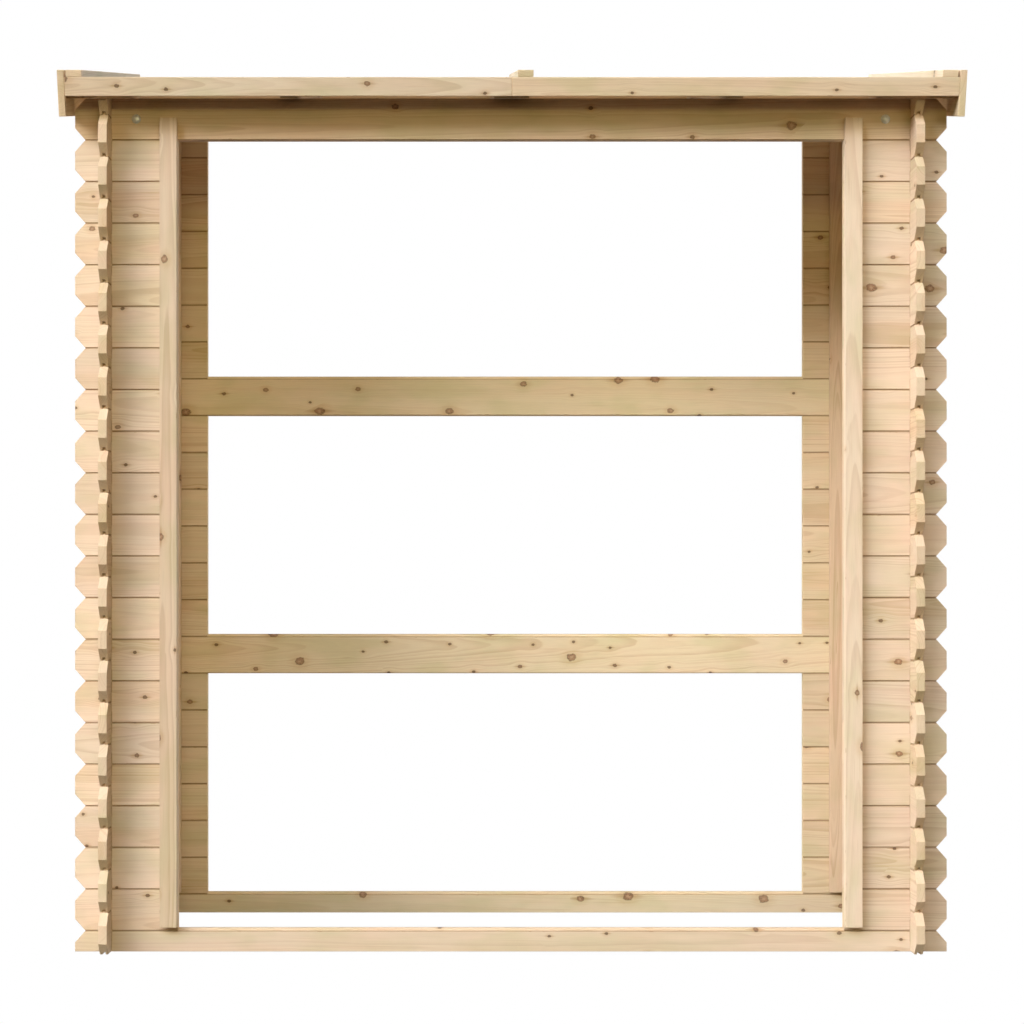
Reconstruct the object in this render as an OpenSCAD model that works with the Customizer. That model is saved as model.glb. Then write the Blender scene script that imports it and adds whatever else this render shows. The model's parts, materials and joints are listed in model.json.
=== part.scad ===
// Log store
//
// An open-fronted firewood store of interlocking boards ("logs") that cross at the corners,
// with a single-slope roof that rises from the open front to the back.
//
// Frame: the origin is on the ground at the middle of the plan, +Z is up, the open front
// faces -Y and +X is to the right of someone who stands in front of it.

/* [Walls] */
// Width over the outer faces of the two side walls
wall_w = 1803; // [1500:1:2400]
// Depth over the outer faces of the front and back walls
wall_d = 593; // [480:1:900]
// How far a log runs on past the wall that it crosses
log_overhang = 62; // [50:1:90]
// Length of the short logs beside the front opening
front_stub_l = 227.5; // [180:0.5:400]
// Length of the short logs beside the back openings
back_stub_l = 219.5; // [190:0.5:400]

/* [Logs] */
// Height that one log covers, from joint to joint
log_h = 92; // [76:1:112]
// Thickness of a log
log_t = 19; // [16:0.5:28]
// Number of short logs on each side of the front opening
front_stub_courses = 19; // [17:1:21]
// Number of short logs beside the lower opening in the back wall
back_lower_courses = 6; // [3:1:7]
// Number of short logs beside the middle opening in the back wall
back_middle_courses = 6; // [3:1:6]
// Length of the sloping cut on the corners of a log's end
end_cut_l = 23; // [10:1:30]
// Height of the sloping cut on the corners of a log's end
end_cut_h = 26; // [15:0.5:30]
// Depth of the bevel along a log's edges, into its face
bevel_d = 1.2; // [0.6:0.1:2.4]
// Height of the bevel along a log's edges
bevel_h = 2; // [1:0.5:5]
// Width of the tongue along the top of a log
tongue_w = 6; // [5:0.5:7]
// Height of the tongue along the top of a log
tongue_h = 6.5; // [4:0.5:8]

/* [Upright battens] */
// Width of an upright batten
upright_w = 38; // [30:1:45]
// Thickness of an upright batten
upright_t = 19; // [15:0.5:25]
// Distance from the edge of a back opening to the upright batten beside it
upright_set_back = 65; // [40:1:80]

/* [Bolts] */
// Diameter of a bolt's shank
bolt_d = 8; // [6:1:10]
// Diameter of a bolt's domed head
bolt_head_d = 20.65; // [16:0.05:24]
// Height of a bolt's domed head
bolt_head_h = 5; // [4:0.5:6]

/* [Roof] */
// Slope of the roof, in degrees
roof_slope = 14.5; // [10:0.5:18]
// Distance along the slope from the front wall's outer face to the roof's front edge
eaves_run = 95; // [75:1:120]
// Distance along the slope from the back wall's outer face to the roof's back edge
rear_run = 105.5; // [75:0.5:120]
// How far the roof boards reach past the ends of the front and back logs
verge_run = 4; // [2:0.5:30]
// Height of a rafter
rafter_h = 28; // [24:1:45]
// Width of a rafter
rafter_w = 38; // [30:1:50]
// Thickness of the roof boards
roof_board_t = 15; // [9:0.5:19]
// Thickness of the roofing felt
felt_t = 1.5; // [1:0.5:3]
// Width of a batten that holds the felt down
felt_batten_w = 34; // [25:1:45]
// Height of a batten that holds the felt down
felt_batten_h = 15; // [10:1:22]
// Distance from the middle of the roof to the centre line of the middle felt batten
felt_batten_shift = 29.5; // [20:0.5:40]
// Thickness of the fascia boards and barge boards
trim_t = 15; // [12:0.5:20]
// Height of a front fascia board
fascia_h = 40; // [30:1:43]
// Height of a back fascia board
back_fascia_h = 45; // [30:1:60]
// Height of a barge board
barge_h = 98; // [80:1:120]

/* [Hidden] */
$fn = 48;
eps = 1;                          // how far a cutting shape runs past what it cuts
joint_gap = 0.3;                  // gap between one log and the next in the same wall
notch_gap = 0.25;                 // gap on each side of a log in the notch that it sits in
notch_seat = 0.15;                // gap above and below a log in the notch that it sits in
groove_play = 0.5;                // play of a tongue in its groove, at its sides and tip
tongue_taper = 0.8;               // how far each side of a tongue leans in towards its tip
butt_gap = 0.3;                   // gap between roof pieces that lie end to end or side by side
felt_batten_inset = 4;            // gap between an outer felt batten and the roof's side edge
bolt_play = 0.25;                 // gap around a bolt in its hole
nut_w = 13;                       // width of a nut across its flats
nut_h = 6.5;                      // height of a nut
washer_d = 22;                    // diameter of the washer under a nut
washer_t = 1.6;                   // thickness of the washer under a nut
bolt_tail = 4;                    // length of shank that shows past a nut
outer_upright_foot = 9;           // gap between a front outer upright and the sill log
inner_upright_foot = 6;           // gap between an inner upright and the level of the sill's top
inner_upright_head = 12;          // gap between an inner upright and the top of its wall

half_w = wall_w / 2;
half_d = wall_d / 2;
side_x = half_w - log_t / 2;                      // middle of a side wall's thickness
end_y = half_d - log_t / 2;                       // middle of the front or back wall's thickness
log_end_x = half_w + log_overhang;                // end of a front or back log
log_end_y = half_d + log_overhang;                // end of a side log
sill_h = log_h / 2;
rise = tan(roof_slope);
front_gap_x = log_end_x - front_stub_l;           // edge of the front opening
back_gap_x = log_end_x - back_stub_l;             // edge of the back openings

// Courses of the front and back walls are numbered from the half log on the ground, so the
// middle of course n is n logs up. Side courses lie half a log higher than those.
front_top_course = front_stub_courses + 1;
lower_rail_course = back_lower_courses + 1;
upper_rail_course = lower_rail_course + back_middle_courses + 1;
roof_z = (front_top_course + 0.5) * log_h;        // roof line at the front wall's outer face
back_roof_z = roof_z + wall_d * rise;             // roof line at the back wall's outer face
least_top_neck = 0.1;                             // least neck left in the back's last log, in logs
back_top_course = floor((back_roof_z - log_t * rise) / log_h + 0.25 - least_top_neck);
top_gable_course = back_top_course - 1;
tall_log_h = 2 * log_h;                           // blank that the last logs are cut from

roof_front = -eaves_run;                          // the roof's ends, along the slope
roof_back = wall_d / cos(roof_slope) + rear_run;
deck_front = roof_front + trim_t;
deck_back = roof_back - trim_t;
deck_x = log_end_x + verge_run;
felt_z = rafter_h + roof_board_t;                 // heights in the roof, square to the slope
batten_z = felt_z + felt_t;
roof_top = batten_z + felt_batten_h;

upright_x = back_gap_x + upright_set_back;        // nearer edge of an inner upright
bolt_x = upright_x + upright_w / 2;
front_bolt_z = front_top_course * log_h;
back_log_z = (back_top_course - 0.5) * log_h;     // underside of the back wall's last log
back_upright_top = back_roof_z - (log_t + upright_t) * rise - inner_upright_head;
back_bolt_z = (back_log_z + back_upright_top) / 2;

pale_wood = [0.90, 0.80, 0.66];
olive_wood = [0.78, 0.69, 0.50];
trim_wood = [0.88, 0.77, 0.60];
shaded_wood = [0.56, 0.40, 0.27];
felt_grey = [0.30, 0.31, 0.32];
bright_steel = [0.74, 0.75, 0.76];

// ---- One log ----

// Outline of a log's cross-section: x across its thickness, y up from its underside
module log_section(height, tongue) {
    face = log_t / 2;
    groove = tongue_w / 2 + groove_play;
    groove_top = tongue_h + groove_play;
    tip = tongue_w / 2 - tongue_taper;
    top = height - joint_gap;
    right_side = [[-groove, 0], [-groove, groove_top], [groove, groove_top], [groove, 0],
        [face - bevel_d, 0], [face, bevel_h], [face, top - bevel_h], [face - bevel_d, top]];
    ridge = [[tongue_w / 2, top], [tip, top + tongue_h], [-tip, top + tongue_h],
        [-tongue_w / 2, top]];
    left_side = [[bevel_d - face, top], [-face, top - bevel_h], [-face, bevel_h],
        [bevel_d - face, 0]];
    polygon(concat(right_side, tongue ? ridge : [], left_side));
}

// The two wedges sawn off the corners of a log's end. The log runs along +X from x = 0
module end_cuts(height) {
    reach = tongue_h + eps;
    run = end_cut_l * (end_cut_h + reach) / end_cut_h;
    low = [[-eps, -eps], [end_cut_l, -eps], [end_cut_l, 0], [0, end_cut_h], [-eps, end_cut_h]];
    high = [[-eps, height - end_cut_h], [0, height - end_cut_h], [run, height + reach],
        [-eps, height + reach]];
    for (outline = [low, high])
        translate([0, log_t, 0]) rotate([90, 0, 0]) linear_extrude(2 * log_t) polygon(outline);
}

// The slots above and below a log's neck, where a log of the crossing wall passes
module crossing_notches(height) {
    slot_w = log_t + 2 * notch_gap;
    neck_bottom = log_h / 4 + notch_seat;
    neck_top = 3 * log_h / 4 - notch_seat;
    translate([-slot_w / 2, -log_t, -eps]) cube([slot_w, 2 * log_t, neck_bottom + eps]);
    translate([-slot_w / 2, -log_t, neck_top])
        cube([slot_w, 2 * log_t, height + tongue_h + eps - neck_top]);
}

// A log along X from x0 to x1, on z = 0. sawn says which of its ends have the corner cuts,
// and crossings is where other walls pass through it
module log(x0, x1, sawn, crossings, height = log_h, tongue = true) {
    difference() {
        translate([x0, 0, 0]) rotate([90, 0, 90]) linear_extrude(x1 - x0)
            log_section(height, tongue);
        if (sawn[0])
            translate([x0, 0, 0]) end_cuts(height);
        if (sawn[1])
            translate([x1, 0, 0]) mirror([1, 0, 0]) end_cuts(height);
        for (x = crossings)
            translate([x, 0, 0]) crossing_notches(height);
    }
}

// ---- Logs in their walls ----

// Puts children on the underside of a course of the front (side = -1) or back (side = 1) wall
module in_course(course, side) {
    translate([0, side * end_y, (course - 0.5) * log_h]) children();
}

// A log over the whole width of the store
module full_log(height = log_h, tongue = true) {
    log(-log_end_x, log_end_x, [true, true], [-side_x, side_x], height, tongue);
}

// Short logs of courses first to last, from the right-hand corner in to the opening
module right_stubs(first, last, side, gap_x) {
    for (course = [first:1:last])
        in_course(course, side) log(gap_x, log_end_x, [false, true], [side_x]);
}

// The half log that lies on the ground
module sill_log(side) {
    difference() {
        in_course(0, side) full_log();
        translate([-log_end_x - eps, side * end_y - log_t, -log_h])
            cube([2 * (log_end_x + eps), 2 * log_t, log_h]);
    }
}

// A side log of the right-hand wall, on the height of its course
module side_log(course, height = log_h) {
    translate([side_x, 0, course * log_h]) rotate([0, 0, 90])
        log(-log_end_y, log_end_y, [true, true], [-end_y, end_y], height);
}

module right_wall_logs_shape() {
    for (course = [0:1:front_top_course - 1])
        side_log(course);
}

module right_gable_logs_shape() {
    difference() {
        union() {
            for (course = [front_top_course:1:top_gable_course - 1])
                side_log(course);
            side_log(top_gable_course, tall_log_h);
        }
        above_roof_line();
    }
}

// ---- Roof ----

// Puts children in the roof's frame: y runs up the slope from the front wall's outer face,
// and z is square to the slope, from the underside of the rafters
module on_roof() {
    translate([0, -half_d, roof_z]) rotate([roof_slope, 0, 0]) children();
}

// Everything over the underside of the rafters
module above_roof_line() {
    on_roof() translate([-deck_x, roof_front - log_overhang, 0])
        cube([2 * deck_x, roof_back - roof_front + 2 * log_overhang, 2 * tall_log_h]);
}

// The rafters of the right-hand roof panel: at its two edges and in its middle
module right_rafters_shape() {
    first_x = butt_gap / 2;
    last_x = deck_x - rafter_w;
    for (x = [first_x, (first_x + last_x) / 2, last_x])
        on_roof() translate([x, deck_front, 0])
            cube([rafter_w, deck_back - deck_front, rafter_h]);
}

module right_roof_boards_shape() {
    on_roof() translate([butt_gap / 2, deck_front, rafter_h])
        cube([deck_x - butt_gap / 2, deck_back - deck_front, roof_board_t]);
}

// The right-hand half of a fascia, whose nearer face is at y = start
module right_fascia_shape(start, height) {
    on_roof() translate([butt_gap / 2, start, batten_z - height])
        cube([deck_x - butt_gap / 2, trim_t, height]);
}

// A batten that holds the felt down, from its left edge at x
module felt_batten(x) {
    on_roof() translate([x, roof_front, batten_z])
        cube([felt_batten_w, roof_back - roof_front, felt_batten_h]);
}

module right_barge_board_shape() {
    on_roof() translate([deck_x + butt_gap, roof_front, roof_top - barge_h])
        cube([trim_t, roof_back - roof_front, barge_h]);
}

// ---- Uprights and bolts ----

// An upright batten from z0 to z1, with its left edge at x. It lies against a wall's face at y:
// in front of the face where side is 1, and behind it where side is -1
module upright(x, y, z0, z1, side) {
    translate([x, side > 0 ? y - upright_t : y, z0]) cube([upright_w, upright_t, z1 - z0]);
}

// What a bolt's hole takes out of the right-hand end of a wall, at height z. It reaches from
// the wall's outer face to the inner face of the batten behind it
module bolt_hole(z, side) {
    translate([bolt_x, side * (half_d + eps), z]) rotate([side * 90, 0, 0])
        cylinder(d = bolt_d + 2 * bolt_play, h = log_t + upright_t + 2 * eps);
}

// A domed bolt with its washer and nut. The head is on the wall's outer face
module bolt(z, side) {
    grip = log_t + upright_t;
    dome_r = (pow(bolt_head_d / 2, 2) + pow(bolt_head_h, 2)) / (2 * bolt_head_h);
    color(bright_steel)
    translate([bolt_x, side * half_d, z]) rotate([side * 90, 0, 0]) {
        intersection() {
            translate([0, 0, dome_r - bolt_head_h]) sphere(r = dome_r);
            translate([0, 0, -bolt_head_h])
                cylinder(d = bolt_head_d + eps, h = bolt_head_h);
        }
        translate([0, 0, -eps])
            cylinder(d = bolt_d, h = eps + grip + washer_t + nut_h + bolt_tail);
        translate([0, 0, grip]) cylinder(d = washer_d, h = washer_t);
        translate([0, 0, grip + washer_t])
            cylinder(d = nut_w / cos(30), h = nut_h, $fn = 6);
    }
}

// ---- The store's pieces ----

module left() {
    mirror([1, 0, 0]) children();
}

module right_wall_logs() {
    color(pale_wood) right_wall_logs_shape();
}

module left_wall_logs() {
    color(pale_wood) left() right_wall_logs_shape();
}

module right_gable_logs() {
    color(pale_wood) right_gable_logs_shape();
}

module left_gable_logs() {
    color(pale_wood) left() right_gable_logs_shape();
}

module front_sill_log() {
    color(pale_wood) sill_log(-1);
}

module front_right_stub_logs() {
    color(pale_wood) right_stubs(1, front_stub_courses, -1, front_gap_x);
}

module front_left_stub_logs() {
    left() front_right_stub_logs();
}

module front_top_log() {
    color(pale_wood) difference() {
        in_course(front_top_course, -1) full_log(tongue = false);
        bolt_hole(front_bolt_z, -1);
        left() bolt_hole(front_bolt_z, -1);
    }
}

module back_sill_log() {
    color(olive_wood) sill_log(1);
}

module back_right_lower_stub_logs() {
    color(shaded_wood) right_stubs(1, back_lower_courses, 1, back_gap_x);
}

module back_left_lower_stub_logs() {
    left() back_right_lower_stub_logs();
}

module back_lower_rail_log() {
    color(olive_wood) in_course(lower_rail_course, 1) full_log();
}

module back_right_middle_stub_logs() {
    color(shaded_wood) right_stubs(lower_rail_course + 1, upper_rail_course - 1, 1, back_gap_x);
}

module back_left_middle_stub_logs() {
    left() back_right_middle_stub_logs();
}

module back_upper_rail_log() {
    color(olive_wood) in_course(upper_rail_course, 1) full_log();
}

module back_right_upper_stub_logs() {
    color(shaded_wood) right_stubs(upper_rail_course + 1, back_top_course - 1, 1, back_gap_x);
}

module back_left_upper_stub_logs() {
    left() back_right_upper_stub_logs();
}

module back_top_log() {
    color(olive_wood) difference() {
        in_course(back_top_course, 1) full_log(tall_log_h, false);
        above_roof_line();
        bolt_hole(back_bolt_z, 1);
        left() bolt_hole(back_bolt_z, 1);
    }
}

module front_right_outer_upright() {
    color(trim_wood)
        upright(front_gap_x, -half_d, sill_h + outer_upright_foot, front_bolt_z, 1);
}

module front_left_outer_upright() {
    left() front_right_outer_upright();
}

module front_right_inner_upright() {
    color(trim_wood) difference() {
        upright(upright_x, log_t - half_d, sill_h + inner_upright_foot,
            roof_z - inner_upright_head, -1);
        bolt_hole(front_bolt_z, -1);
    }
}

module front_left_inner_upright() {
    left() front_right_inner_upright();
}

module back_right_inner_upright() {
    color(trim_wood) difference() {
        upright(upright_x, half_d - log_t, sill_h + inner_upright_foot, back_upright_top, 1);
        bolt_hole(back_bolt_z, 1);
    }
}

module back_left_inner_upright() {
    left() back_right_inner_upright();
}

module front_right_bolt() {
    bolt(front_bolt_z, -1);
}

module front_left_bolt() {
    left() front_right_bolt();
}

module back_right_bolt() {
    bolt(back_bolt_z, 1);
}

module back_left_bolt() {
    left() back_right_bolt();
}

module right_rafters() {
    color(trim_wood) right_rafters_shape();
}

module left_rafters() {
    left() right_rafters();
}

module right_roof_boards() {
    color(trim_wood) right_roof_boards_shape();
}

module left_roof_boards() {
    left() right_roof_boards();
}

module front_right_fascia() {
    color(trim_wood) right_fascia_shape(roof_front, fascia_h);
}

module front_left_fascia() {
    left() front_right_fascia();
}

module back_right_fascia() {
    color(trim_wood) right_fascia_shape(deck_back, back_fascia_h);
}

module back_left_fascia() {
    left() back_right_fascia();
}

module roofing_felt() {
    color(felt_grey) on_roof() translate([-deck_x, deck_front, felt_z])
        cube([2 * deck_x, deck_back - deck_front, felt_t]);
}

module right_felt_batten() {
    color(trim_wood) felt_batten(deck_x - felt_batten_inset - felt_batten_w);
}

module left_felt_batten() {
    left() right_felt_batten();
}

module middle_felt_batten() {
    color(trim_wood) felt_batten(felt_batten_shift - felt_batten_w / 2);
}

module right_barge_board() {
    color(trim_wood) right_barge_board_shape();
}

module left_barge_board() {
    left() right_barge_board();
}

left_wall_logs();
right_wall_logs();
left_gable_logs();
right_gable_logs();
front_sill_log();
front_left_stub_logs();
front_right_stub_logs();
front_top_log();
back_sill_log();
back_left_lower_stub_logs();
back_right_lower_stub_logs();
back_lower_rail_log();
back_left_middle_stub_logs();
back_right_middle_stub_logs();
back_upper_rail_log();
back_left_upper_stub_logs();
back_right_upper_stub_logs();
back_top_log();
front_left_outer_upright();
front_right_outer_upright();
front_left_inner_upright();
front_right_inner_upright();
back_left_inner_upright();
back_right_inner_upright();
front_left_bolt();
front_right_bolt();
back_left_bolt();
back_right_bolt();
left_rafters();
right_rafters();
left_roof_boards();
right_roof_boards();
front_left_fascia();
front_right_fascia();
back_left_fascia();
back_right_fascia();
roofing_felt();
left_felt_batten();
middle_felt_batten();
right_felt_batten();
left_barge_board();
right_barge_board();
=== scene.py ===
"""The looks of the log store: planed pine boards, a felted roof and zinc-plated bolts."""

import json
import math
import random

import bmesh
import bpy
from mathutils import Matrix, Vector


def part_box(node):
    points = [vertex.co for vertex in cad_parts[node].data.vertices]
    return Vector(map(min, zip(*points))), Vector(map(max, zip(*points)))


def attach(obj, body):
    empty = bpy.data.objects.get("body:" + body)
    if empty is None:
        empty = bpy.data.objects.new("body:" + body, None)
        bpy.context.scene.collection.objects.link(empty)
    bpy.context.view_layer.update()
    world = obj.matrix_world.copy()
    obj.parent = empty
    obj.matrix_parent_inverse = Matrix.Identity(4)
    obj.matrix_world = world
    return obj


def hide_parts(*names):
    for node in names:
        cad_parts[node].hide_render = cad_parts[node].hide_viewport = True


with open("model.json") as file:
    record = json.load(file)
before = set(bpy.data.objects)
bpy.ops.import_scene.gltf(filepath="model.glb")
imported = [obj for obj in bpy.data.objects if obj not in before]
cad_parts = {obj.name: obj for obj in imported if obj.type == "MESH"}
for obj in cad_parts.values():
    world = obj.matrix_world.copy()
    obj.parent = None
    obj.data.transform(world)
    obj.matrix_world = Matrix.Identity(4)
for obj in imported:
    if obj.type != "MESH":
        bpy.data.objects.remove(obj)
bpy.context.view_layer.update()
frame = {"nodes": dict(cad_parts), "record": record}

# ---- Sizes, in metres ----

ROOF_SLOPE = math.radians(14.5)
WELD = 1e-5                   # vertices nearer than this are one
FLAT_ANGLE = math.radians(1)
SHARP_ANGLE = math.radians(20)
CREASE_ANGLE = math.radians(35)
LOG_ARRIS = 0.0007            # how far a log's sharp edges are eased
TRIM_ARRIS = 0.0016           # the same for battens, fascias and barge boards
ARRIS_SEGMENTS = 2
LOG_END = 0.030               # a log's corners nearer its end than this aren't in a notch
SQUARE = 0.2                  # a face's normal has less than this along an axis it is square to

RING_WIDTH = 0.0042           # width of one year's growth
KNOT_CELL_L = 0.110           # one knot at most in each cell of a board, along it and across
KNOT_CELL_H = 0.070
KNOT_LEAST = 0.0032           # radius of the smallest and the largest knot
KNOT_MOST = 0.0110

ROOF_BOARDS = 9               # boards in one roof panel
ROOF_BOARD_GAP = 0.0006
ROOF_BOARD_BEVEL = 0.003      # the V between two boards, on their undersides
TONGUE_L, TONGUE_T = 0.005, 0.0045
GROOVE_PLAY = 0.0004

FELT_SEAM = 0.0295            # the felt's two strips meet here, under the middle batten
FELT_GAP = 0.004
FELT_CELL = 0.012             # size of the cells of the felt's mesh
FELT_WAVE = 0.0005            # height of the waves in the felt

HEAD_R, HEAD_H, HEAD_RIM = 0.010325, 0.005, 0.0007
SHANK_R, GRIP = 0.004, 0.038
THREAD_DEPTH, THREAD_PITCH, THREAD_STEPS = 0.00045, 0.00125, 6
WASHER_R, WASHER_HOLE_R, WASHER_T = 0.011, 0.0043, 0.0016
NUT_W, NUT_H, NUT_FACE_R = 0.013, 0.0065, 0.0062
BOLT_TAIL = 0.004
SMALL_CHAMFER = 0.0003
BOLT_TURNS = 72               # corners of a bolt's round outlines
DOME_RINGS = 9

# ---- Where things are ----

WOOD_SLOTS = {"pale_pine", "shaded_pine", "trim_pine", "roof_pine"}
slot_of = {row["node"]: row["material_slot"] for row in frame["record"]["subparts"]}


def is_on_roof(node):
    """Whether a node lies along the roof's slope and not square to the ground."""
    words = ("rafters", "roof_boards", "fascia", "felt", "barge")
    return any(word in node for word in words)


def local_axes(node):
    """The turn from the shared frame into the one in which a node's boards are square."""
    return Matrix.Rotation(-ROOF_SLOPE if is_on_roof(node) else 0.0, 3, "X")


# ---- Meshes ----

def welded(node):
    """A bmesh of a CAD node with its flat faces whole and its vertices shared."""
    mesh = frame["nodes"][node].data
    made, index = bmesh.new(), {}

    def vertex(co):
        key = tuple(round(c / WELD) for c in co)
        if key not in index:
            index[key] = made.verts.new(co)
        return index[key]

    for polygon in mesh.polygons:
        corners = [vertex(mesh.vertices[i].co) for i in polygon.vertices]
        if len(set(corners)) == len(corners) and not made.faces.get(corners):
            made.faces.new(corners)
    bmesh.ops.recalc_face_normals(made, faces=made.faces)
    bmesh.ops.dissolve_limit(
        made, angle_limit=FLAT_ANGLE, verts=made.verts, edges=made.edges)
    return made


def ease_edges(made, width):
    """Rounds the sharp edges, and marks the faces that this adds."""
    worn = made.faces.layers.float.new("worn_edge")
    sharp = [e for e in made.edges
             if len(e.link_faces) == 2 and e.calc_face_angle() > SHARP_ANGLE]
    result = bmesh.ops.bevel(
        made, geom=sharp, offset=width, offset_type="OFFSET", segments=ARRIS_SEGMENTS,
        profile=0.5, affect="EDGES", clamp_overlap=False)
    for face in result["faces"]:
        face[worn] = 1.0


def islands(made):
    """The separate boards of a bmesh, each as a list of vertices, in a fixed order."""
    seen, found = set(), []
    for start in made.verts:
        if start in seen:
            continue
        seen.add(start)
        members, queue = [], [start]
        while queue:
            vert = queue.pop()
            members.append(vert)
            for edge in vert.link_edges:
                other = edge.other_vert(vert)
                if other not in seen:
                    seen.add(other)
                    queue.append(other)
        found.append(members)

    def place(members):
        low = [round(min(v.co[i] for v in members), 3) for i in range(3)]
        return low[2], low[0], low[1]

    return sorted(found, key=place)


def grow_wood(made, node):
    """Gives each board of a bmesh its own place in a tree: where the pith runs, how the
    board is tilted to it, and its tone. Marks its end grain, and painted shade on its joint
    bevels and notch corners. The material reads all of these as attributes."""
    turn = local_axes(node)
    rng = random.Random(node)
    grain = made.verts.layers.float_vector.new("grain")
    tone = made.verts.layers.float_vector.new("tone")
    end_grain = made.faces.layers.float.new("end_grain")
    joint = made.faces.layers.float.new("joint")
    for members in islands(made):
        local = {v: turn @ v.co for v in members}
        low = Vector([min(p[i] for p in local.values()) for i in range(3)])
        high = Vector([max(p[i] for p in local.values()) for i in range(3)])
        size, middle = high - low, (low + high) / 2
        thick, wide, along = sorted(range(3), key=lambda i: size[i])
        start = rng.uniform(0, 20)
        flip = rng.choice((-1, 1))
        heart_side = rng.choice((-1, 1))
        pith_h = rng.uniform(-0.45, 0.45) * size[wide]
        pith_t = heart_side * rng.uniform(0.012, 0.075)
        tilt_h = rng.uniform(-0.02, 0.02)
        tilt_t = rng.choice((-1, 1)) * rng.uniform(0.004, 0.035)
        mood = Vector((rng.random(), rng.random(), rng.random()))
        for vert, point in local.items():
            p = point - middle
            vert[grain] = Vector((
                start + flip * p[along],
                p[wide] - pith_h + tilt_h * p[along],
                p[thick] - pith_t + tilt_t * p[along]))
            vert[tone] = mood
        for face in {f for v in members for f in v.link_faces}:
            facing = [abs(c) for c in turn @ face.normal]
            face[end_grain] = min(1.0, 1.3 * facing[along])
            # painted shade goes on a log's slanted joint bevels and on the faces in the corners
            # of its notches
            slanted = facing[along] < SQUARE < min(facing[thick], facing[wide])
            place = (turn @ face.calc_center_median())[along]
            notched = (facing[wide] < SQUARE < min(facing[thick], facing[along])
                       and min(place - low[along], high[along] - place) > LOG_END)
            face[joint] = 1.0 if (slanted or notched) and "log" in node else 0.0


def add_piece(made, name, material, node):
    """Makes an object of a bmesh, which stands for a CAD node and rides with the store."""
    mesh = bpy.data.meshes.new(name)
    for face in made.faces:
        face.smooth = True
    for edge in made.edges:
        edge.smooth = edge.calc_face_angle(0.0) < CREASE_ANGLE
    made.to_mesh(mesh)
    made.free()
    piece = bpy.data.objects.new(name, mesh)
    bpy.context.scene.collection.objects.link(piece)
    mesh.materials.append(material)
    piece.modifiers.new("even_normals", "WEIGHTED_NORMAL").keep_sharp = True
    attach(piece, "root")
    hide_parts(node)


def skin(made, rings, closed=False):
    """Joins rings of vertices one after another. The first and last are joined to each
    other, or each is closed by a face."""
    following = rings[1:] + (rings[:1] if closed else [])
    for one, two in zip(rings, following):
        for i, vert in enumerate(one):
            j = (i + 1) % len(one)
            made.faces.new((vert, one[j], two[j], two[i]))
    if not closed:
        made.faces.new(rings[0][::-1])
        made.faces.new(rings[-1])


def local_box(node):
    """A node's lowest and highest corner in the frame in which its boards are square."""
    turn = local_axes(node)
    points = [turn @ v.co for v in frame["nodes"][node].data.vertices]
    return [Vector([pick(p[i] for p in points) for i in range(3)]) for pick in (min, max)]


def board_outline(y0, y1, z0, z1, groove, tongue):
    """The cross-section of a roof board, as points up the slope and square to it."""
    v, middle = ROOF_BOARD_BEVEL, (z0 + z1) / 2
    points = [(y0 + v, z0), (y1 - v, z0), (y1, z0 + v)]
    if tongue:
        low, high, tip = middle - TONGUE_T / 2, middle + TONGUE_T / 2, y1 + TONGUE_L
        points += [(y1, low), (tip, low), (tip, high), (y1, high)]
    points += [(y1, z1), (y0, z1)]
    if groove:
        half, depth = TONGUE_T / 2 + GROOVE_PLAY, y0 + TONGUE_L + GROOVE_PLAY
        points += [(y0, middle + half), (depth, middle + half),
                   (depth, middle - half), (y0, middle - half)]
    return points + [(y0, z0 + v)]


def roof_boards(node):
    """One roof panel as tongued and grooved boards, side by side up the slope."""
    low, high = local_box(node)
    back = local_axes(node).transposed()
    made = bmesh.new()
    width = (high.y - low.y) / ROOF_BOARDS
    for i in range(ROOF_BOARDS):
        first, last = i == 0, i == ROOF_BOARDS - 1
        y0 = low.y + i * width + (0 if first else ROOF_BOARD_GAP)
        outline = board_outline(y0, low.y + (i + 1) * width, low.z, high.z,
                                not first, not last)
        skin(made, [[made.verts.new(back @ Vector((x, y, z))) for y, z in outline]
                    for x in (low.x, high.x)])
    bmesh.ops.recalc_face_normals(made, faces=made.faces)
    return made


def add_wood(node, material):
    """A CAD node's boards with eased edges and a grain of their own."""
    made = roof_boards(node) if "roof_boards" in node else welded(node)
    ease_edges(made, TRIM_ARRIS if slot_of[node] == "trim_pine" else LOG_ARRIS)
    bmesh.ops.recalc_face_normals(made, faces=made.faces)
    grow_wood(made, node)
    add_piece(made, node + "_pine", material, node)


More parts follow.
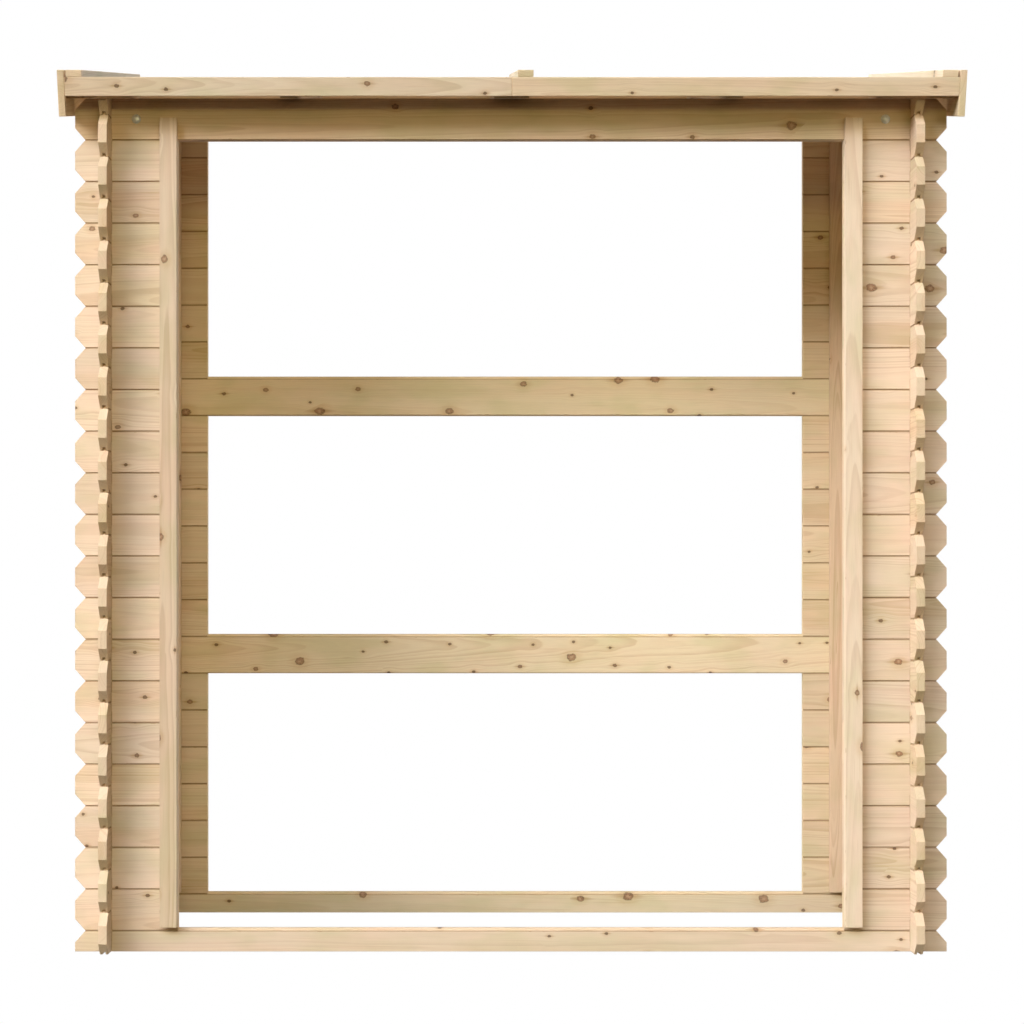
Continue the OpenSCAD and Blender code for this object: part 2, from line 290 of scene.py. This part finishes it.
def felt_strip(made, node, x0, x1, rng):
    """One strip of felt from x0 to x1, flat beneath and with shallow waves on top."""
    low, high = local_box(node)
    back = local_axes(node).transposed()
    waves = [(rng.uniform(5, 16), rng.uniform(4, 14), rng.uniform(0, 2 * math.pi))
             for _ in range(6)]

    def steps(start, stop):
        count = round((stop - start) / FELT_CELL)
        return [start + (stop - start) * i / count for i in range(count + 1)]

    def top(x, y):
        wave = sum(math.sin(a * x + b * y + c) for a, b, c in waves) / len(waves)
        return high.z - FELT_WAVE * (1 + wave) / 2

    def layer(height):
        return [[made.verts.new(back @ Vector((x, y, height(x, y)))) for y in ys] for x in xs]

    xs, ys = steps(x0, x1), steps(low.y, high.y)
    below, above = layer(lambda x, y: low.z), layer(top)
    for i in range(len(xs) - 1):
        for j in range(len(ys) - 1):
            corners = ((i, j), (i + 1, j), (i + 1, j + 1), (i, j + 1))
            made.faces.new([above[a][b] for a, b in corners])
            made.faces.new([below[a][b] for a, b in reversed(corners)])
    far_x, far_y = len(xs) - 1, len(ys) - 1
    rim = [(i, 0) for i in range(far_x)] + [(far_x, j) for j in range(far_y)]
    rim += [(i, far_y) for i in range(far_x, 0, -1)] + [(0, j) for j in range(far_y, 0, -1)]
    for (a, b), (c, d) in zip(rim, rim[1:] + rim[:1]):
        made.faces.new((below[a][b], below[c][d], above[c][d], above[a][b]))


def add_felt(node, material):
    """The roofing felt as two strips that meet under the middle batten."""
    low, high = local_box(node)
    rng = random.Random(node)
    made = bmesh.new()
    felt_strip(made, node, low.x, FELT_SEAM - FELT_GAP / 2, rng)
    felt_strip(made, node, FELT_SEAM + FELT_GAP / 2, high.x, rng)
    bmesh.ops.recalc_face_normals(made, faces=made.faces)
    add_piece(made, node + "_strips", material, node)


def round_ring(radius, along):
    """A ring of one radius, at one place on the bolt's axis."""
    return [(radius, along)] * BOLT_TURNS


def nut_ring(along, end):
    """A ring of a nut: six flats, with the corners taken down by a cone at each end."""
    ring, sixth = [], math.pi / 3
    for i in range(BOLT_TURNS):
        angle = 2 * math.pi * i / BOLT_TURNS
        flat = NUT_W / 2 / math.cos(angle % sixth - sixth / 2)
        ring.append((flat, along - end * (flat - NUT_FACE_R) * math.tan(sixth / 2)))
    return ring


def thread_rings(start, stop):
    """The rings of a screw thread, between two places on the bolt's axis."""
    count = round(abs(stop - start) / THREAD_PITCH * THREAD_STEPS)
    rings = []
    for k in range(count + 1):
        along = start + (stop - start) * k / count
        ring = []
        for i in range(BOLT_TURNS):
            turn = (along / THREAD_PITCH + i / BOLT_TURNS) % 1.0
            ring.append((SHANK_R - THREAD_DEPTH * abs(2 * turn - 1), along))
        rings.append(ring)
    return rings


def add_bolt(node, material):
    """A domed bolt with its washer and its nut. Places on its axis are counted outwards
    from the face of the wall that the head is on."""
    low, high = (Vector(corner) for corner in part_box(node))
    out = 1 if low.y + high.y > 0 else -1
    face = high.y - HEAD_H if out > 0 else low.y + HEAD_H
    x, z = (low.x + high.x) / 2, (low.z + high.z) / 2
    made = bmesh.new()

    def turned(rings, closed=False):
        skin(made, [[made.verts.new((
            x + r * math.cos(2 * math.pi * i / BOLT_TURNS), face + out * along,
            z + r * math.sin(2 * math.pi * i / BOLT_TURNS)))
            for i, (r, along) in enumerate(ring)] for ring in rings], closed)

    c, dome_h = SMALL_CHAMFER, HEAD_H - HEAD_RIM
    dome_r = (HEAD_R ** 2 + dome_h ** 2) / (2 * dome_h)
    spread = math.asin(HEAD_R / dome_r)
    head = [round_ring(SHANK_R, 0), round_ring(HEAD_R - c, 0), round_ring(HEAD_R, c)]
    for k in range(DOME_RINGS):
        angle = spread * (1 - k / DOME_RINGS)
        head.append(round_ring(dome_r * math.sin(angle),
                               HEAD_H - dome_r * (1 - math.cos(angle))))
    turned(head)

    end = -(GRIP + WASHER_T + NUT_H + BOLT_TAIL)
    turned([round_ring(SHANK_R, -c), round_ring(SHANK_R, -GRIP)]
           + thread_rings(-GRIP, end + 2 * c) + [round_ring(SHANK_R - 3 * c, end)])

    near, far = -GRIP, -GRIP - WASHER_T
    turned([round_ring(WASHER_HOLE_R, near), round_ring(WASHER_R - c, near),
            round_ring(WASHER_R, near - c), round_ring(WASHER_R, far + c),
            round_ring(WASHER_R - c, far), round_ring(WASHER_HOLE_R, far)], True)

    near, far = far, far - NUT_H
    turned([round_ring(WASHER_HOLE_R, near), round_ring(NUT_FACE_R, near),
            nut_ring(near, 1), nut_ring(far, -1),
            round_ring(NUT_FACE_R, far), round_ring(WASHER_HOLE_R, far)], True)
    bmesh.ops.recalc_face_normals(made, faces=made.faces)
    add_piece(made, node + "_zinc", material, node)


# ---- Node expressions ----

class Nodes:
    """Builds a node tree as plain expressions."""

    def __init__(self, tree):
        self.tree = tree

    def node(self, kind, inputs=None, out=0, **settings):
        made = self.tree.nodes.new("ShaderNode" + kind)
        for key, value in settings.items():
            setattr(made, key, value)
        for key, value in (inputs or {}).items():
            self.feed(made.inputs[key], value)
        return made.outputs[out]

    def feed(self, socket, value):
        if isinstance(value, bpy.types.NodeSocket):
            self.tree.links.new(value, socket)
        else:
            socket.default_value = value

    def math(self, operation, *values):
        return self.node("Math", dict(enumerate(values)), operation=operation)

    def add(self, a, b):
        return self.math("ADD", a, b)

    def sub(self, a, b):
        return self.math("SUBTRACT", a, b)

    def mul(self, a, b):
        return self.math("MULTIPLY", a, b)

    def vector(self, operation, *values, out=0):
        return self.node("VectorMath", dict(enumerate(values)), out, operation=operation)

    def scaled(self, vector, *factors):
        return self.vector("MULTIPLY", vector, factors)

    def parts(self, vector):
        made = self.tree.nodes.new("ShaderNodeSeparateXYZ")
        self.feed(made.inputs[0], vector)
        return made.outputs

    def join(self, x, y, z):
        return self.node("CombineXYZ", {0: x, 1: y, 2: z})

    def attribute(self, name, out="Vector"):
        return self.node("Attribute", out=out, attribute_name=name,
                         attribute_type="GEOMETRY")

    def fade(self, value, low, high, start=0.0, end=1.0):
        """Runs smoothly from start to end as the value goes from low to high."""
        inputs = {0: value, 1: low, 2: high, 3: start, 4: end}
        return self.node("MapRange", inputs, interpolation_type="SMOOTHSTEP", clamp=True)

    def noise(self, vector, scale=1.0, detail=2.0, rough=0.5):
        inputs = {"Vector": vector, "Scale": scale, "Detail": detail, "Roughness": rough}
        return self.node("TexNoise", inputs, out="Fac")

    def mix(self, share, a, b):
        made = self.tree.nodes.new("ShaderNodeMix")
        made.data_type = "RGBA"
        for key, value in ((0, share), (6, a), (7, b)):
            self.feed(made.inputs[key], value)
        return made.outputs[2]

    def shade(self, colour, factor):
        """A colour times a number."""
        return self.vector("SCALE", colour, (0, 0, 0), (0, 0, 0), factor)

    def tint(self, share, colour, factors):
        """A colour times the factors, as far as share says."""
        return self.mix(share, colour, self.vector("MULTIPLY", colour, factors))


def new_material(name):
    """A node material, the builder of its nodes, and its shader."""
    material = bpy.data.materials.new(name)
    material.use_nodes = True
    tree = material.node_tree
    shader = tree.nodes["Principled BSDF"]
    return material, Nodes(tree), shader


# ---- Materials ----

PINES = {
    "pale_pine": {"early": (0.80, 0.650, 0.500, 1), "late": (0.64, 0.465, 0.315, 1)},
    "shaded_pine": {"early": (0.79, 0.655, 0.465, 1), "late": (0.62, 0.455, 0.270, 1)},
    # the back rails and sill: shaded pine painted lighter and yellower, as painted light
    "rail_pine": {"early": (0.83, 0.710, 0.505, 1), "late": (0.67, 0.505, 0.300, 1)},
    "trim_pine": {"early": (0.83, 0.675, 0.515, 1), "late": (0.65, 0.475, 0.320, 1)},
    # the roof's fascia, barge boards and battens: trim pine painted lighter, as painted light
    "eaves_pine_painted_light": {"early": (0.90, 0.750, 0.575, 1), "late": (0.74, 0.565, 0.390, 1)},
    # roof boards darker than the walls' pine: painted shade under the roof
    "roof_pine": {"early": (0.64, 0.470, 0.300, 1), "late": (0.48, 0.320, 0.180, 1)},
}
KNOT_DARK = (0.110, 0.052, 0.024, 1)
KNOT_RED = (0.330, 0.160, 0.085, 1)
KNOT_PALE = (0.500, 0.310, 0.190, 1)
OLIVE = (0.89, 0.935, 0.84)
PINK = (1.02, 0.975, 0.985)
HEART = (0.94, 0.88, 0.80)
END_WOOD = (1.0, 0.97, 0.90)
STAIN = (0.86, 0.79, 0.70)
HALO = (0.86, 0.77, 0.64)
DRAWN = (0.70, 0.58, 0.45)
RUBBED = (1.07, 1.06, 1.05)
NICKED = (0.78, 0.70, 0.60)
WARM = (1.01, 0.985, 0.95)
PAINTED_JOINT_SHADE = (0.62, 0.54, 0.46)    # painted shade: darker bevels along a log's joints and darker corners in its notches
SLATE_DARK, SLATE_PALE = (0.050, 0.054, 0.060, 1), (0.235, 0.245, 0.255, 1)
BITUMEN = (0.035, 0.035, 0.037, 1)
ZINC_DULL, ZINC_BRIGHT = (0.84, 0.89, 1.0, 1), (0.92, 0.95, 1.0, 1)


def knots(n, along, across, seed):
    """Where the knots are: how far from a knot's middle a point is, in its radii, whether
    there is a knot, its pull on the grain around it, how large it is from 0 to 1, and two
    masks, for its cracks and for the streak it draws along the board."""
    cells = n.join(n.math("DIVIDE", along, KNOT_CELL_L),
                   n.math("DIVIDE", across, KNOT_CELL_H), 0.0)
    cells = n.vector("ADD", cells, n.join(n.mul(seed, 37.0), n.mul(seed, 53.0), 0.0))
    voronoi = n.tree.nodes.new("ShaderNodeTexVoronoi")
    voronoi.voronoi_dimensions = "2D"
    voronoi.inputs["Scale"].default_value = 1.0
    voronoi.inputs["Randomness"].default_value = 0.8
    n.feed(voronoi.inputs["Vector"], cells)
    chance, size, kind = n.parts(voronoi.outputs["Color"])
    spare = n.fade(n.math("FRACT", n.mul(seed, 7.0)), 0.0, 1.0, 0.36, 0.84)
    there = n.math("GREATER_THAN", chance, spare)
    radius = n.add(KNOT_LEAST, n.mul(KNOT_MOST - KNOT_LEAST, n.math("POWER", size, 3.0)))
    offset = n.scaled(n.vector("SUBTRACT", cells, voronoi.outputs["Position"]),
                      KNOT_CELL_L, KNOT_CELL_H, 0.0)
    inner = n.vector("SCALE", n.scaled(offset, 0.85, 1.1, 0.0), (0, 0, 0), (0, 0, 0),
                     n.math("DIVIDE", 1.0, radius))
    far = n.vector("LENGTH", inner, out="Value")
    place = n.vector("ADD", inner, n.join(n.mul(kind, 40.0), n.mul(chance, 60.0), 0.0))
    far = n.add(far, n.mul(n.sub(n.noise(place, 1.2, 3.0), 0.5), 0.9))
    rays = n.vector("ADD", n.scaled(n.vector("NORMALIZE", inner), 2.4, 2.4, 0.0),
                    n.join(n.mul(kind, 30.0), 0.0, 0.0))
    crack = n.fade(n.noise(rays, 1.0, 3.0), 0.54, 0.62)
    crack = n.mul(n.mul(crack, n.fade(far, 0.1, 0.4)), n.fade(size, 0.5, 0.8))
    drawn = n.vector("LENGTH", n.scaled(inner, 0.24, 1.5, 0.0), out="Value")
    streak = n.mul(n.mul(n.fade(drawn, 0.2, 1.1, 1.0, 0.0), there), n.fade(kind, 0.3, 0.5))
    reach = n.fade(voronoi.outputs["Distance"], 0.0, 0.40, 1.0, 0.0)
    pull = n.mul(n.mul(reach, there), n.parts(offset)[1])
    return far, there, pull, size, crack, streak


def year_rings(n, grain, shift, pull, seed):
    """The late wood of each year, how far a point is from the pith, and the slow swell
    that bends both."""
    across, deep = n.parts(grain)[1:]
    sway = n.noise(n.scaled(shift, 2.2, 0.1, 0.1), detail=2)
    swell = n.noise(n.scaled(shift, 3.0, 22, 22), detail=2)
    y = n.add(n.sub(across, n.mul(pull, 0.8)), n.mul(n.sub(sway, 0.5), 0.020))
    z = n.add(deep, n.mul(n.sub(swell, 0.5), 0.006))
    radius = n.math("SQRT", n.add(n.mul(y, y), n.mul(z, z)))
    years = n.node("TexNoise", {"W": n.add(n.mul(radius, 70.0), n.mul(seed, 30.0)),
                                "Scale": 1.0, "Detail": 1.0},
                   noise_dimensions="1D", out="Fac")
    phase = n.add(n.math("DIVIDE", radius, RING_WIDTH), n.mul(years, 3.0))
    part = n.math("FRACT", phase)
    strength = n.node("TexWhiteNoise", {"W": n.math("FLOOR", phase)},
                      noise_dimensions="1D", out="Value")
    ring = n.mul(n.fade(part, 0.2, 0.88), n.fade(part, 0.92, 1.0, 1.0, 0.0))
    return n.mul(ring, n.fade(strength, 0.0, 1.0, 0.25, 1.0)), radius, swell


def blotched(n, colour, shift, heart):
    """A wood's colour with its heartwood and with olive and pink blotches."""
    blotch = n.fade(n.noise(n.scaled(shift, 7, 16, 16), detail=2), 0.42, 0.72)
    blush = n.fade(n.noise(n.scaled(shift, 5, 21, 33), detail=2), 0.40, 0.70)
    colour = n.tint(n.mul(heart, 0.6), colour, HEART)
    colour = n.tint(n.mul(blotch, 0.9), colour, OLIVE)
    return n.tint(n.mul(blush, 0.9), colour, PINK)


def knot_wood(n, far, size, crack):
    """A knot's colour. Small ones are dark, large ones red-brown with a dark rim, turns
    and cracks."""
    small = n.fade(size, 0.45, 0.8, 1.0, 0.0)
    rim = n.mul(n.fade(far, 0.62, 0.95), 0.7)
    turns = n.mul(n.math("SINE", n.mul(far, 17.0)), 0.10)
    core = n.fade(far, 0.1, 0.6, 1.0, 0.0)
    dark = n.math("MAXIMUM", n.math("MAXIMUM", crack, rim), small)
    dark = n.math("MINIMUM", n.math("MAXIMUM", n.add(dark, turns), 0.0), 1.0)
    return n.mix(dark, n.mix(core, KNOT_RED, KNOT_PALE), KNOT_DARK)


def edge_wear(n, shift, worn, side):
    """Where an edge is rubbed pale, and where its fibres broke into small dents."""
    rub = n.mul(worn, n.fade(n.noise(n.scaled(shift, 25, 60, 60), detail=3), 0.35, 0.65))
    nick = n.fade(n.noise(n.scaled(shift, 45, 160, 160), detail=2), 0.64, 0.72)
    return rub, n.mul(n.mul(nick, worn), side)


def pine(name, early, late):
    """Planed pine: yearly rings around a pith, fibres, blotches, knots and worn edges."""
    material, n, shader = new_material(name)
    grain = n.attribute("grain")
    seed, light, warmth = n.parts(n.attribute("tone"))
    end = n.attribute("end_grain", "Fac")
    side = n.sub(1.0, end)
    along, across = n.parts(grain)[:2]
    shift = n.vector("ADD", grain, n.join(0.0, n.mul(seed, 11.0), n.mul(seed, 7.0)))

    far, there, pull, size, crack, drawn = knots(n, along, across, seed)
    ragged = n.mul(n.sub(n.noise(n.scaled(shift, 140, 260, 260), detail=3), 0.5), 0.5)
    far = n.add(far, ragged)
    knot = n.mul(n.mul(n.fade(far, 0.85, 1.15, 1.0, 0.0), there), side)
    halo = n.mul(n.mul(n.fade(far, 0.8, 3.2, 1.0, 0.0), there), side)
    ring, radius, swell = year_rings(n, grain, shift, pull, seed)
    heart = n.fade(n.add(radius, n.mul(swell, 0.02)), 0.040, 0.052, 1.0, 0.0)
    fibre = n.noise(n.scaled(shift, 14, 1100, 1100), detail=2)
    streak = n.fade(n.noise(n.scaled(shift, 4, 260, 260), detail=2), 0.60, 0.78)
    rub, nick = edge_wear(n, shift, n.attribute("worn_edge", "Fac"), side)

    bold = n.fade(n.math("FRACT", n.mul(seed, 17.0)), 0.1, 0.9, 0.30, 0.72)
    colour = n.mix(n.mul(ring, n.mul(bold, n.fade(end, 0.0, 1.0, 1.0, 0.7))), early, late)
    colour = blotched(n, colour, shift, heart)
    colour = n.shade(colour, n.fade(light, 0.0, 1.0, 0.94, 1.04))
    colour = n.tint(warmth, colour, WARM)
    colour = n.shade(colour, n.fade(fibre, 0.2, 0.8, 0.955, 1.03))
    colour = n.tint(n.mul(streak, 0.55), colour, STAIN)
    colour = n.tint(n.mul(halo, 0.6), colour, HALO)
    colour = n.tint(n.mul(n.mul(drawn, side), 0.7), colour, DRAWN)
    colour = n.tint(end, colour, END_WOOD)
    colour = n.mix(n.mul(knot, 0.80), colour, knot_wood(n, far, size, crack))
    colour = n.tint(n.mul(rub, 0.8), colour, RUBBED)
    colour = n.tint(nick, colour, NICKED)
    # painted shade on the logs' joint bevels and in the corners of their notches
    colour = n.tint(n.attribute("joint", "Fac"), colour, PAINTED_JOINT_SHADE)
    n.feed(shader.inputs["Base Color"], colour)

    rough = n.sub(n.add(0.60, n.mul(fibre, 0.14)), n.mul(ring, 0.07))
    rough = n.sub(n.add(rough, n.mul(end, 0.12)), n.mul(knot, 0.16))
    n.feed(shader.inputs["Roughness"], rough)
    shader.inputs["Specular IOR Level"].default_value = 0.28

    pores = n.noise(n.scaled(shift, 900, 900, 900), detail=1)
    height = n.add(n.mul(ring, 0.45), n.mul(fibre, n.add(0.12, n.mul(rub, 0.25))))
    height = n.sub(n.add(height, n.mul(n.mul(pores, end), 0.9)), n.mul(nick, 2.0))
    height = n.add(height, n.mul(knot, n.fade(far, 0.7, 1.0, 0.5, -0.8)))
    bump = n.node("Bump", {"Height": height, "Strength": 0.45, "Distance": 0.0004},
                  out="Normal")
    n.feed(shader.inputs["Normal"], bump)
    return material


def felt():
    """Bitumen felt with a coat of slate granules, faded in patches and rubbed bare in
    spots."""
    material, n, shader = new_material("mineral_felt")
    point = n.node("TexCoord", out="Object")
    grains = n.tree.nodes.new("ShaderNodeTexVoronoi")
    grains.inputs["Scale"].default_value = 620.0
    n.feed(grains.inputs["Vector"], point)
    speck = n.parts(grains.outputs["Color"])[0]
    patch = n.noise(point, 4.0, 4.0, 0.6)
    drag = n.noise(n.scaled(point, 60.0, 5.0, 5.0), detail=3)
    colour = n.mix(n.fade(speck, 0.1, 0.95), SLATE_DARK, SLATE_PALE)
    colour = n.shade(colour, n.fade(patch, 0.3, 0.7, 0.86, 1.12))
    colour = n.shade(colour, n.fade(drag, 0.3, 0.7, 0.95, 1.05))
    bare = n.fade(n.noise(point, 55.0, 3.0, 0.6), 0.66, 0.76)
    colour = n.mix(n.mul(bare, 0.7), colour, BITUMEN)
    n.feed(shader.inputs["Base Color"], colour)
    n.feed(shader.inputs["Roughness"], n.sub(n.add(0.86, n.mul(speck, 0.1)), n.mul(bare, 0.2)))
    shader.inputs["Specular IOR Level"].default_value = 0.3
    height = n.add(n.mul(grains.outputs["Distance"], -1.0), n.mul(speck, 0.6))
    bump = n.node("Bump", {"Height": height, "Strength": 0.7, "Distance": 0.0006},
                  out="Normal")
    n.feed(shader.inputs["Normal"], bump)
    return material


def zinc():
    """Zinc-plated steel: cloudy and faintly spangled."""
    material, n, shader = new_material("zinc_plate")
    point = n.node("TexCoord", out="Object")
    cloud = n.noise(point, 160.0, 4.0, 0.6)
    spangle = n.tree.nodes.new("ShaderNodeTexVoronoi")
    spangle.inputs["Scale"].default_value = 420.0
    n.feed(spangle.inputs["Vector"], point)
    facet = n.parts(spangle.outputs["Color"])[0]
    colour = n.mix(n.fade(cloud, 0.3, 0.7), ZINC_DULL, ZINC_BRIGHT)
    colour = n.shade(colour, n.fade(facet, 0.0, 1.0, 0.92, 1.0))
    n.feed(shader.inputs["Base Color"], colour)
    shader.inputs["Metallic"].default_value = 0.40
    rough = n.fade(cloud, 0.3, 0.7, 0.42, 0.32)
    n.feed(shader.inputs["Roughness"], n.add(rough, n.mul(facet, 0.05)))
    height = n.add(n.noise(point, 900.0, 3.0, 0.6), n.mul(facet, 0.2))
    bump = n.node("Bump", {"Height": height, "Strength": 0.25, "Distance": 0.0002},
                  out="Normal")
    n.feed(shader.inputs["Normal"], bump)
    return material


# ---- The store ----

def pine_of(node):
    """The pine material that a node gets: its slot's, but lighter copies, as painted light, for
    the roof's trim and for the back rails and sill.
    """
    # roof trim gets a copy of its pine painted lighter, as painted light
    if slot_of[node] == "trim_pine" and is_on_roof(node):
        return "eaves_pine_painted_light"
    # the back rails and sill get a copy of their pine painted lighter, as painted light
    if node in ("back_lower_rail_log", "back_upper_rail_log", "back_sill_log"):
        return "rail_pine"
    return slot_of[node]


pines = {name: pine(name, **colours) for name, colours in PINES.items()}
felt_material, zinc_material = felt(), zinc()

for node in sorted(frame["nodes"]):
    if slot_of[node] in WOOD_SLOTS:
        add_wood(node, pines[pine_of(node)])
    elif slot_of[node] == "zinc_steel":
        add_bolt(node, zinc_material)
    else:
        add_felt(node, felt_material)

# ---- Floor, light and camera ----

# The studio's lights, far away and soft: azimuth and half width, elevation and half height,
# all in degrees, and the red, green and blue brightness. Azimuth 0 is in front of the store
# and rises to its right.
STUDIO = (
    (-61, 28, 22.5, 6, (16.0, 15.9, 14.9)),     # key, wide and to the left
    (-26, 39, 41, 6, (7.4, 7.9, 9.4)),          # above the camera
    (22, 12, 14, 17, (2.8, 2.4, 1.5)),          # right of the camera
    (-15, 50, 2.5, 2, (0.9, 0.45, 0.15)),       # the floor's far edge
    (100, 10, 24, 16, (2.4, 2.9, 3.6)),         # right, for the side wall
)
SOFT_W, SOFT_H = 8.0, 6.0     # how softly those end, in degrees
BEHIND_START, BEHIND_FULL = 95.0, 110.0    # the azimuths where the light behind sets in
BEHIND_TOP, SKY_TOP = 50.0, 74.0           # the elevations where the sky takes over
BEHIND_LIGHT = (0.92, 0.91, 0.86)
SKY_LIGHT = (0.50, 0.60, 0.75)
DIM_LIGHT = (0.02, 0.015, 0.01)

LAMP_AT = Vector((-0.32, -5.2, 2.2))    # a small warm lamp by the camera
LAMP_W = 0.5
LAMP_POWER = 17.5
LAMP_COLOUR = (1.0, 0.94, 0.28)
FOCUS = Vector((0.0, 0.0, 1.0))         # where the lamp points

CAMERA_AT = (-0.108, -4.6935, 0.746)    # level, and square to the store's front
CAMERA_LENS, CAMERA_SENSOR = 69.93, 36.0
CAMERA_SHIFT = (0.0488, 0.0996)

FLOOR_HALF = 30.0


def add_floor():
    """A plain pale floor that glows evenly and lights nothing."""
    mesh = bpy.data.meshes.new("floor")
    half = FLOOR_HALF
    corners = [(-half, -half, 0), (half, -half, 0), (half, half, 0), (-half, half, 0)]
    mesh.from_pydata(corners, [], [(0, 1, 2, 3)])
    floor = bpy.data.objects.new("floor", mesh)
    bpy.context.scene.collection.objects.link(floor)
    material, n, shader = new_material("pale_floor")
    glow = n.node("Emission", {"Color": (1, 1, 1, 1), "Strength": 1.0})
    n.tree.nodes.remove(shader)
    n.feed(n.tree.nodes["Material Output"].inputs["Surface"], glow)
    mesh.materials.append(material)
    floor.visible_diffuse = False
    floor.visible_glossy = False
    floor.visible_shadow = False


def add_world():
    """Soft studio lights far away, and plain white where the camera sees past the store."""
    world = bpy.data.worlds.new("studio")
    world.use_nodes = True
    bpy.context.scene.world = world
    n = Nodes(world.node_tree)
    x, y, z = n.parts(n.node("TexCoord", out="Generated"))
    azimuth = n.mul(n.math("ARCTAN2", x, n.mul(y, -1.0)), math.degrees(1))
    elevation = n.mul(n.math("ARCSINE", z), math.degrees(1))

    def band(angle, middle, half, soft):
        """1 between two angles and 0 beyond them, with soft borders."""
        away = n.math("ABSOLUTE", n.sub(angle, middle))
        return n.fade(away, half - soft, half + soft, 1.0, 0.0)

    light = DIM_LIGHT
    for at, half_w, height, half_h, colour in STUDIO:
        lit = n.mul(band(azimuth, at, half_w, SOFT_W),
                    band(elevation, height, half_h, min(SOFT_H, half_h / 2)))
        light = n.vector("ADD", light, n.shade(colour, lit))
    behind = n.fade(n.math("ABSOLUTE", azimuth), BEHIND_START, BEHIND_FULL)
    behind = n.mul(behind, n.fade(elevation, BEHIND_TOP, SKY_TOP, 1.0, 0.0))
    light = n.vector("ADD", light, n.shade(BEHIND_LIGHT, behind))
    sky = n.fade(elevation, BEHIND_TOP, SKY_TOP)
    light = n.vector("ADD", light, n.shade(SKY_LIGHT, sky))
    seen = n.node("LightPath", out="Is Camera Ray")
    background = world.node_tree.nodes["Background"]
    n.feed(background.inputs["Color"], n.mix(seen, light, (1.0, 1.0, 1.0, 1)))


def add_lamp():
    """The small lamp by the camera."""
    data = bpy.data.lights.new("lamp", "AREA")
    data.shape, data.size = "SQUARE", LAMP_W
    data.energy, data.color = LAMP_POWER, LAMP_COLOUR
    lamp = bpy.data.objects.new("lamp", data)
    bpy.context.scene.collection.objects.link(lamp)
    lamp.location = LAMP_AT
    lamp.rotation_euler = (LAMP_AT - FOCUS).to_track_quat("Z", "Y").to_euler()


def add_camera():
    """The camera at the photograph's viewing angle."""
    data = bpy.data.cameras.new("camera")
    data.lens, data.sensor_width = CAMERA_LENS, CAMERA_SENSOR
    data.shift_x, data.shift_y = CAMERA_SHIFT
    data.dof.use_dof = False
    camera = bpy.data.objects.new("camera", data)
    bpy.context.scene.collection.objects.link(camera)
    camera.location = CAMERA_AT
    camera.rotation_euler = (math.radians(90), 0, 0)
    bpy.context.scene.camera = camera


add_floor()
add_world()
add_lamp()
add_camera()
bpy.context.scene.view_settings.view_transform = "Standard"
